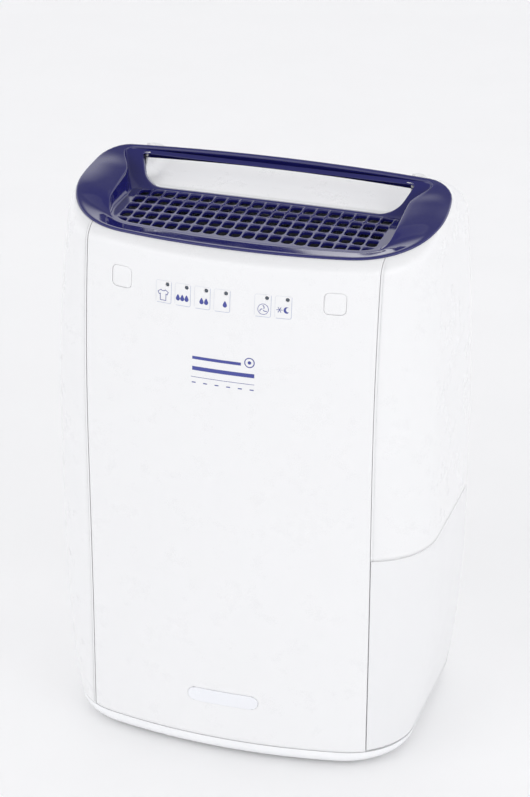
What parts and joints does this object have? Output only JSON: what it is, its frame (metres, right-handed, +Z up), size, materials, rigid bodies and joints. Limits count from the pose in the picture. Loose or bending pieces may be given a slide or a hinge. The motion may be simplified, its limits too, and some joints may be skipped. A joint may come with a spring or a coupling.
{
  "type": "dehumidifier",
  "caption": "Upright white room dehumidifier with a dark blue top outlet grille and carry handle, push buttons and a side-drawn water tank.",
  "frame": {"origin": "centre of the body's plan, at the underside of the rubber feet", "axes": "+Z up, the front panel faces -Y, +X to the right seen from the front"},
  "size_m": [0.336, 0.218, 0.4996],
  "materials": {
    "base_pan": "fine satin moulded white",
    "foot_1": "matt moulded rubber",
    "foot_2": "matt moulded rubber",
    "foot_3": "matt moulded rubber",
    "foot_4": "matt moulded rubber",
    "front_cover": "semi-gloss moulded white",
    "blank_badge": "plain satin pill",
    "rear_housing": "semi-gloss moulded white",
    "outlet_trim": "high-gloss dark blue",
    "power_button": "semi-gloss moulded white",
    "power_switch": "black moulded",
    "mode_button": "semi-gloss moulded white",
    "mode_switch": "black moulded",
    "lamp_1": "dark clear lens, unlit",
    "lamp_2": "dark clear lens, unlit",
    "lamp_3": "dark clear lens, unlit",
    "lamp_4": "dark clear lens, unlit",
    "lamp_5": "dark clear lens, unlit",
    "lamp_6": "dark clear lens, unlit",
    "control_board": "green laminate",
    "water_tank": "translucent moulded",
    "tank_lid": "satin moulded",
    "tank_float": "satin moulded",
    "float_magnet": "dark sintered",
    "level_switch": "black moulded",
    "drip_tray": "satin moulded",
    "condenser": "bare fins",
    "evaporator": "bare fins",
    "filter_frame": "satin moulded white",
    "filter_net": "fine woven net",
    "fan_scroll": "dark grey moulded",
    "fan_wheel": "black moulded",
    "motor_shaft": "ground",
    "fan_motor": "satin grey",
    "motor_bracket": "zinc plated",
    "compressor": "satin black paint",
    "compressor_bush_1": "matt moulded rubber",
    "compressor_bush_2": "matt moulded rubber",
    "compressor_bush_3": "matt moulded rubber",
    "suction_pipe": "drawn copper, lightly dulled",
    "discharge_pipe": "drawn copper, lightly dulled",
    "liquid_line": "drawn copper, lightly dulled",
    "run_capacitor": "drawn can",
    "humidity_sensor": "blue moulded",
    "cord_gland": "matt moulded rubber",
    "drain_spout": "satin moulded",
    "drain_plug": "matt moulded rubber",
    "rear_screw_1": "plated",
    "rear_screw_2": "plated",
    "rear_screw_3": "plated",
    "rear_screw_4": "plated"
  },
  "bodies": {
    "cabinet": {"base_pan": "base_pan", "foot_1": "foot_1", "foot_2": "foot_2", "foot_3": "foot_3", "foot_4": "foot_4", "front_cover": "front_cover", "blank_badge": "blank_badge", "rear_housing": "rear_housing", "outlet_trim": "outlet_trim", "power_switch": "power_switch", "mode_switch": "mode_switch", "lamp_1": "lamp_1", "lamp_2": "lamp_2", "lamp_3": "lamp_3", "lamp_4": "lamp_4", "lamp_5": "lamp_5", "lamp_6": "lamp_6", "control_board": "control_board", "level_switch": "level_switch", "drip_tray": "drip_tray", "condenser": "condenser", "evaporator": "evaporator", "fan_scroll": "fan_scroll", "fan_motor": "fan_motor", "motor_bracket": "motor_bracket", "compressor": "compressor", "compressor_bush_1": "compressor_bush_1", "compressor_bush_2": "compressor_bush_2", "compressor_bush_3": "compressor_bush_3", "suction_pipe": "suction_pipe", "discharge_pipe": "discharge_pipe", "liquid_line": "liquid_line", "run_capacitor": "run_capacitor", "humidity_sensor": "humidity_sensor", "cord_gland": "cord_gland", "drain_spout": "drain_spout", "rear_screw_1": "rear_screw_1", "rear_screw_2": "rear_screw_2", "rear_screw_3": "rear_screw_3", "rear_screw_4": "rear_screw_4"},
    "power_button": {"power_button": "power_button"},
    "mode_button": {"mode_button": "mode_button"},
    "tank": {"water_tank": "water_tank", "tank_lid": "tank_lid"},
    "float": {"tank_float": "tank_float", "float_magnet": "float_magnet"},
    "filter": {"filter_frame": "filter_frame", "filter_net": "filter_net"},
    "fan": {"fan_wheel": "fan_wheel", "motor_shaft": "motor_shaft"},
    "drain_plug": {"drain_plug": "drain_plug"}
  },
  "joints": [
    {"name": "power_press", "type": "slide", "parent": "cabinet", "child": "power_button", "axis": [0, 1, 0], "range_m": [0, 0.0012], "stiffness_N_per_m": 600},
    {"name": "mode_press", "type": "slide", "parent": "cabinet", "child": "mode_button", "axis": [0, 1, 0], "range_m": [0, 0.0012], "stiffness_N_per_m": 600},
    {"name": "tank_draw", "type": "slide", "parent": "cabinet", "child": "tank", "axis": [1, 0, 0], "range_m": [0, 0.13]},
    {"name": "float_swing", "type": "hinge", "parent": "tank", "child": "float", "pos_m": [0.122, -0.0657, 0.192], "axis": [1, 0, 0], "range_deg": [0, 6]},
    {"name": "filter_draw", "type": "slide", "parent": "cabinet", "child": "filter", "axis": [0, 1, 0], "range_m": [0, 0.04]},
    {"name": "fan_spin", "type": "hinge", "parent": "cabinet", "child": "fan", "pos_m": [0, 0, 0.326], "axis": [0, 1, 0], "continuous": true},
    {"name": "drain_plug_pull", "type": "slide", "parent": "cabinet", "child": "drain_plug", "axis": [0, 1, 0], "range_m": [0, 0.03]}
  ]
}
